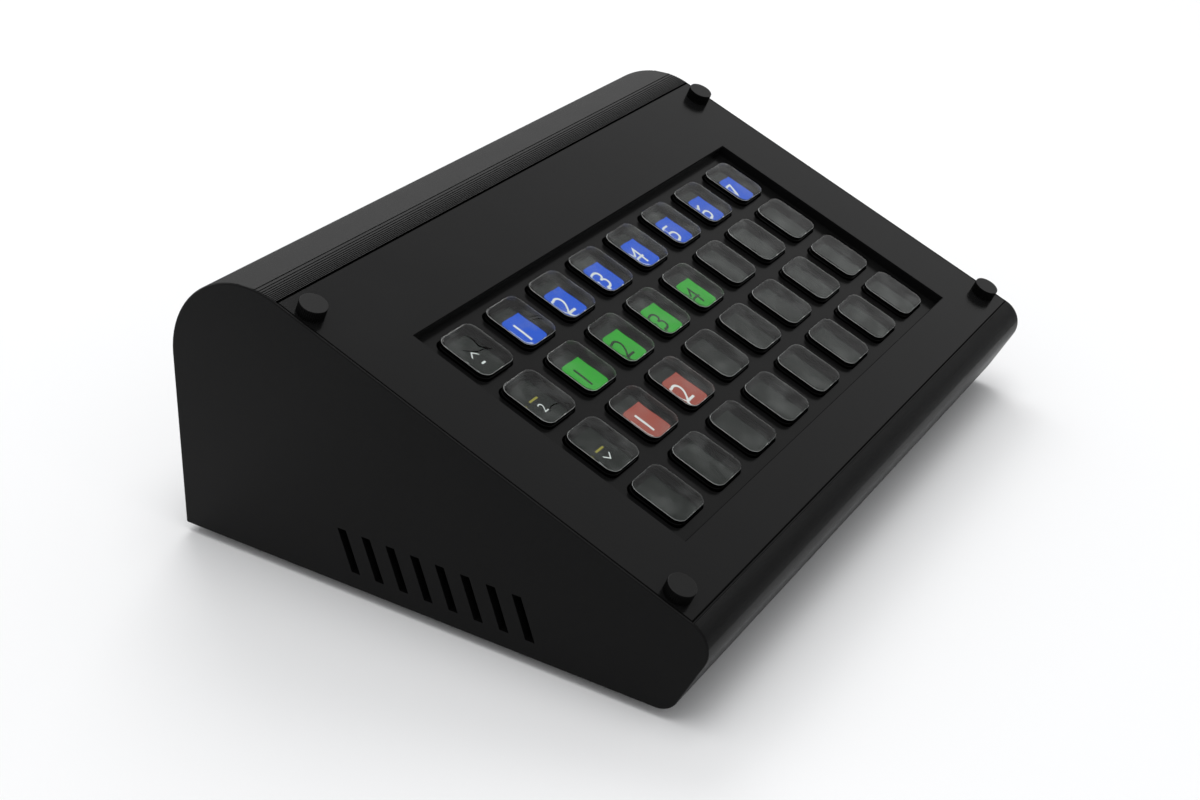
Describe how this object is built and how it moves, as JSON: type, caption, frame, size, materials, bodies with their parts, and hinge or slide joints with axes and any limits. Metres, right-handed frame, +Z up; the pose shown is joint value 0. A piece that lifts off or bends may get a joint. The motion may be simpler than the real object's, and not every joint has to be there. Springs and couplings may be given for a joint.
{
  "type": "stream controller",
  "caption": "Wedge-shaped desk console with a grid of clear display keys in a sloping plate held by thumbscrews.",
  "frame": {"origin": "on the table, under the middle of the housing's width and depth", "axes": "+X to the right as the user sees it, +Y to the rear, +Z up"},
  "size_m": [0.207, 0.1556, 0.0781],
  "materials": {
    "printed_black": "3D-printed, fine layer lines",
    "matt_plate": "matt, smooth",
    "thumb_black": "smooth turned heads",
    "key_clear": "clear, with a thin film on top",
    "key_unit_black": "moulded",
    "membrane_rubber": "silicone",
    "display": "display glass",
    "sheet_metal": "plain",
    "brass": "plain",
    "circuit_board": "solder mask",
    "chip_black": "moulded",
    "socket_metal": "plated",
    "screw_steel": "plain",
    "foot_rubber": "soft",
    "heat_sink_metal": "anodised",
    "plug_black": "moulded",
    "lead_black": "smooth jacket"
  },
  "bodies": {
    "console": {"housing_shell": "printed_black", "base_plate": "printed_black", "top_plate": "matt_plate", "threaded_inserts": "brass", "key_frame": "key_unit_black", "key_membrane": "membrane_rubber", "display_panel": "display", "display_backing": "sheet_metal", "key_board": "circuit_board", "key_board_chips": "chip_black", "key_board_socket": "socket_metal", "key_case": "key_unit_black", "key_case_screws": "screw_steel", "base_screws": "screw_steel", "rubber_feet": "foot_rubber", "computer_board": "circuit_board", "computer_parts": "chip_black", "heat_sink": "heat_sink_metal", "network_socket": "socket_metal", "data_socket": "socket_metal", "power_socket": "socket_metal", "board_screws": "screw_steel", "lead_plugs": "plug_black", "data_lead": "lead_black"},
    "thumbscrew_front_left_body": {"thumbscrew_front_left": "thumb_black"},
    "thumbscrew_front_right_body": {"thumbscrew_front_right": "thumb_black"},
    "thumbscrew_rear_left_body": {"thumbscrew_rear_left": "thumb_black"},
    "thumbscrew_rear_right_body": {"thumbscrew_rear_right": "thumb_black"},
    "key_r1_c1_body": {"key_r1_c1": "key_clear"},
    "key_r1_c2_body": {"key_r1_c2": "key_clear"},
    "key_r1_c3_body": {"key_r1_c3": "key_clear"},
    "key_r1_c4_body": {"key_r1_c4": "key_clear"},
    "key_r1_c5_body": {"key_r1_c5": "key_clear"},
    "key_r1_c6_body": {"key_r1_c6": "key_clear"},
    "key_r1_c7_body": {"key_r1_c7": "key_clear"},
    "key_r1_c8_body": {"key_r1_c8": "key_clear"},
    "key_r2_c1_body": {"key_r2_c1": "key_clear"},
    "key_r2_c2_body": {"key_r2_c2": "key_clear"},
    "key_r2_c3_body": {"key_r2_c3": "key_clear"},
    "key_r2_c4_body": {"key_r2_c4": "key_clear"},
    "key_r2_c5_body": {"key_r2_c5": "key_clear"},
    "key_r2_c6_body": {"key_r2_c6": "key_clear"},
    "key_r2_c7_body": {"key_r2_c7": "key_clear"},
    "key_r2_c8_body": {"key_r2_c8": "key_clear"},
    "key_r3_c1_body": {"key_r3_c1": "key_clear"},
    "key_r3_c2_body": {"key_r3_c2": "key_clear"},
    "key_r3_c3_body": {"key_r3_c3": "key_clear"},
    "key_r3_c4_body": {"key_r3_c4": "key_clear"},
    "key_r3_c5_body": {"key_r3_c5": "key_clear"},
    "key_r3_c6_body": {"key_r3_c6": "key_clear"},
    "key_r3_c7_body": {"key_r3_c7": "key_clear"},
    "key_r3_c8_body": {"key_r3_c8": "key_clear"},
    "key_r4_c1_body": {"key_r4_c1": "key_clear"},
    "key_r4_c2_body": {"key_r4_c2": "key_clear"},
    "key_r4_c3_body": {"key_r4_c3": "key_clear"},
    "key_r4_c4_body": {"key_r4_c4": "key_clear"},
    "key_r4_c5_body": {"key_r4_c5": "key_clear"},
    "key_r4_c6_body": {"key_r4_c6": "key_clear"},
    "key_r4_c7_body": {"key_r4_c7": "key_clear"},
    "key_r4_c8_body": {"key_r4_c8": "key_clear"}
  },
  "joints": [
    {"name": "thumbscrew_front_left_turn", "type": "hinge", "parent": "console", "child": "thumbscrew_front_left_body", "pos_m": [-0.09845, -0.06653, 0.03201], "axis": [0, -0.3746, 0.9272], "continuous": true},
    {"name": "thumbscrew_front_right_turn", "type": "hinge", "parent": "console", "child": "thumbscrew_front_right_body", "pos_m": [0.09845, -0.06653, 0.03201], "axis": [0, -0.3746, 0.9272], "continuous": true},
    {"name": "thumbscrew_rear_left_turn", "type": "hinge", "parent": "console", "child": "thumbscrew_rear_left_body", "pos_m": [-0.09845, 0.03649, 0.07363], "axis": [0, -0.3746, 0.9272], "continuous": true},
    {"name": "thumbscrew_rear_right_turn", "type": "hinge", "parent": "console", "child": "thumbscrew_rear_right_body", "pos_m": [0.09845, 0.03649, 0.07363], "axis": [0, -0.3746, 0.9272], "continuous": true},
    {"name": "key_r1_c1_press", "type": "slide", "parent": "console", "child": "key_r1_c1_body", "axis": [0, -0.3746, 0.9272], "range_m": [-0.0012, 0], "stiffness_N_per_m": 500, "springref_m": 0.0002},
    {"name": "key_r1_c2_press", "type": "slide", "parent": "console", "child": "key_r1_c2_body", "axis": [0, -0.3746, 0.9272], "range_m": [-0.0012, 0], "stiffness_N_per_m": 500, "springref_m": 0.0002},
    {"name": "key_r1_c3_press", "type": "slide", "parent": "console", "child": "key_r1_c3_body", "axis": [0, -0.3746, 0.9272], "range_m": [-0.0012, 0], "stiffness_N_per_m": 500, "springref_m": 0.0002},
    {"name": "key_r1_c4_press", "type": "slide", "parent": "console", "child": "key_r1_c4_body", "axis": [0, -0.3746, 0.9272], "range_m": [-0.0012, 0], "stiffness_N_per_m": 500, "springref_m": 0.0002},
    {"name": "key_r1_c5_press", "type": "slide", "parent": "console", "child": "key_r1_c5_body", "axis": [0, -0.3746, 0.9272], "range_m": [-0.0012, 0], "stiffness_N_per_m": 500, "springref_m": 0.0002},
    {"name": "key_r1_c6_press", "type": "slide", "parent": "console", "child": "key_r1_c6_body", "axis": [0, -0.3746, 0.9272], "range_m": [-0.0012, 0], "stiffness_N_per_m": 500, "springref_m": 0.0002},
    {"name": "key_r1_c7_press", "type": "slide", "parent": "console", "child": "key_r1_c7_body", "axis": [0, -0.3746, 0.9272], "range_m": [-0.0012, 0], "stiffness_N_per_m": 500, "springref_m": 0.0002},
    {"name": "key_r1_c8_press", "type": "slide", "parent": "console", "child": "key_r1_c8_body", "axis": [0, -0.3746, 0.9272], "range_m": [-0.0012, 0], "stiffness_N_per_m": 500, "springref_m": 0.0002},
    {"name": "key_r2_c1_press", "type": "slide", "parent": "console", "child": "key_r2_c1_body", "axis": [0, -0.3746, 0.9272], "range_m": [-0.0012, 0], "stiffness_N_per_m": 500, "springref_m": 0.0002},
    {"name": "key_r2_c2_press", "type": "slide", "parent": "console", "child": "key_r2_c2_body", "axis": [0, -0.3746, 0.9272], "range_m": [-0.0012, 0], "stiffness_N_per_m": 500, "springref_m": 0.0002},
    {"name": "key_r2_c3_press", "type": "slide", "parent": "console", "child": "key_r2_c3_body", "axis": [0, -0.3746, 0.9272], "range_m": [-0.0012, 0], "stiffness_N_per_m": 500, "springref_m": 0.0002},
    {"name": "key_r2_c4_press", "type": "slide", "parent": "console", "child": "key_r2_c4_body", "axis": [0, -0.3746, 0.9272], "range_m": [-0.0012, 0], "stiffness_N_per_m": 500, "springref_m": 0.0002},
    {"name": "key_r2_c5_press", "type": "slide", "parent": "console", "child": "key_r2_c5_body", "axis": [0, -0.3746, 0.9272], "range_m": [-0.0012, 0], "stiffness_N_per_m": 500, "springref_m": 0.0002},
    {"name": "key_r2_c6_press", "type": "slide", "parent": "console", "child": "key_r2_c6_body", "axis": [0, -0.3746, 0.9272], "range_m": [-0.0012, 0], "stiffness_N_per_m": 500, "springref_m": 0.0002},
    {"name": "key_r2_c7_press", "type": "slide", "parent": "console", "child": "key_r2_c7_body", "axis": [0, -0.3746, 0.9272], "range_m": [-0.0012, 0], "stiffness_N_per_m": 500, "springref_m": 0.0002},
    {"name": "key_r2_c8_press", "type": "slide", "parent": "console", "child": "key_r2_c8_body", "axis": [0, -0.3746, 0.9272], "range_m": [-0.0012, 0], "stiffness_N_per_m": 500, "springref_m": 0.0002},
    {"name": "key_r3_c1_press", "type": "slide", "parent": "console", "child": "key_r3_c1_body", "axis": [0, -0.3746, 0.9272], "range_m": [-0.0012, 0], "stiffness_N_per_m": 500, "springref_m": 0.0002},
    {"name": "key_r3_c2_press", "type": "slide", "parent": "console", "child": "key_r3_c2_body", "axis": [0, -0.3746, 0.9272], "range_m": [-0.0012, 0], "stiffness_N_per_m": 500, "springref_m": 0.0002},
    {"name": "key_r3_c3_press", "type": "slide", "parent": "console", "child": "key_r3_c3_body", "axis": [0, -0.3746, 0.9272], "range_m": [-0.0012, 0], "stiffness_N_per_m": 500, "springref_m": 0.0002},
    {"name": "key_r3_c4_press", "type": "slide", "parent": "console", "child": "key_r3_c4_body", "axis": [0, -0.3746, 0.9272], "range_m": [-0.0012, 0], "stiffness_N_per_m": 500, "springref_m": 0.0002},
    {"name": "key_r3_c5_press", "type": "slide", "parent": "console", "child": "key_r3_c5_body", "axis": [0, -0.3746, 0.9272], "range_m": [-0.0012, 0], "stiffness_N_per_m": 500, "springref_m": 0.0002},
    {"name": "key_r3_c6_press", "type": "slide", "parent": "console", "child": "key_r3_c6_body", "axis": [0, -0.3746, 0.9272], "range_m": [-0.0012, 0], "stiffness_N_per_m": 500, "springref_m": 0.0002},
    {"name": "key_r3_c7_press", "type": "slide", "parent": "console", "child": "key_r3_c7_body", "axis": [0, -0.3746, 0.9272], "range_m": [-0.0012, 0], "stiffness_N_per_m": 500, "springref_m": 0.0002},
    {"name": "key_r3_c8_press", "type": "slide", "parent": "console", "child": "key_r3_c8_body", "axis": [0, -0.3746, 0.9272], "range_m": [-0.0012, 0], "stiffness_N_per_m": 500, "springref_m": 0.0002},
    {"name": "key_r4_c1_press", "type": "slide", "parent": "console", "child": "key_r4_c1_body", "axis": [0, -0.3746, 0.9272], "range_m": [-0.0012, 0], "stiffness_N_per_m": 500, "springref_m": 0.0002},
    {"name": "key_r4_c2_press", "type": "slide", "parent": "console", "child": "key_r4_c2_body", "axis": [0, -0.3746, 0.9272], "range_m": [-0.0012, 0], "stiffness_N_per_m": 500, "springref_m": 0.0002},
    {"name": "key_r4_c3_press", "type": "slide", "parent": "console", "child": "key_r4_c3_body", "axis": [0, -0.3746, 0.9272], "range_m": [-0.0012, 0], "stiffness_N_per_m": 500, "springref_m": 0.0002},
    {"name": "key_r4_c4_press", "type": "slide", "parent": "console", "child": "key_r4_c4_body", "axis": [0, -0.3746, 0.9272], "range_m": [-0.0012, 0], "stiffness_N_per_m": 500, "springref_m": 0.0002},
    {"name": "key_r4_c5_press", "type": "slide", "parent": "console", "child": "key_r4_c5_body", "axis": [0, -0.3746, 0.9272], "range_m": [-0.0012, 0], "stiffness_N_per_m": 500, "springref_m": 0.0002},
    {"name": "key_r4_c6_press", "type": "slide", "parent": "console", "child": "key_r4_c6_body", "axis": [0, -0.3746, 0.9272], "range_m": [-0.0012, 0], "stiffness_N_per_m": 500, "springref_m": 0.0002},
    {"name": "key_r4_c7_press", "type": "slide", "parent": "console", "child": "key_r4_c7_body", "axis": [0, -0.3746, 0.9272], "range_m": [-0.0012, 0], "stiffness_N_per_m": 500, "springref_m": 0.0002},
    {"name": "key_r4_c8_press", "type": "slide", "parent": "console", "child": "key_r4_c8_body", "axis": [0, -0.3746, 0.9272], "range_m": [-0.0012, 0], "stiffness_N_per_m": 500, "springref_m": 0.0002}
  ]
}
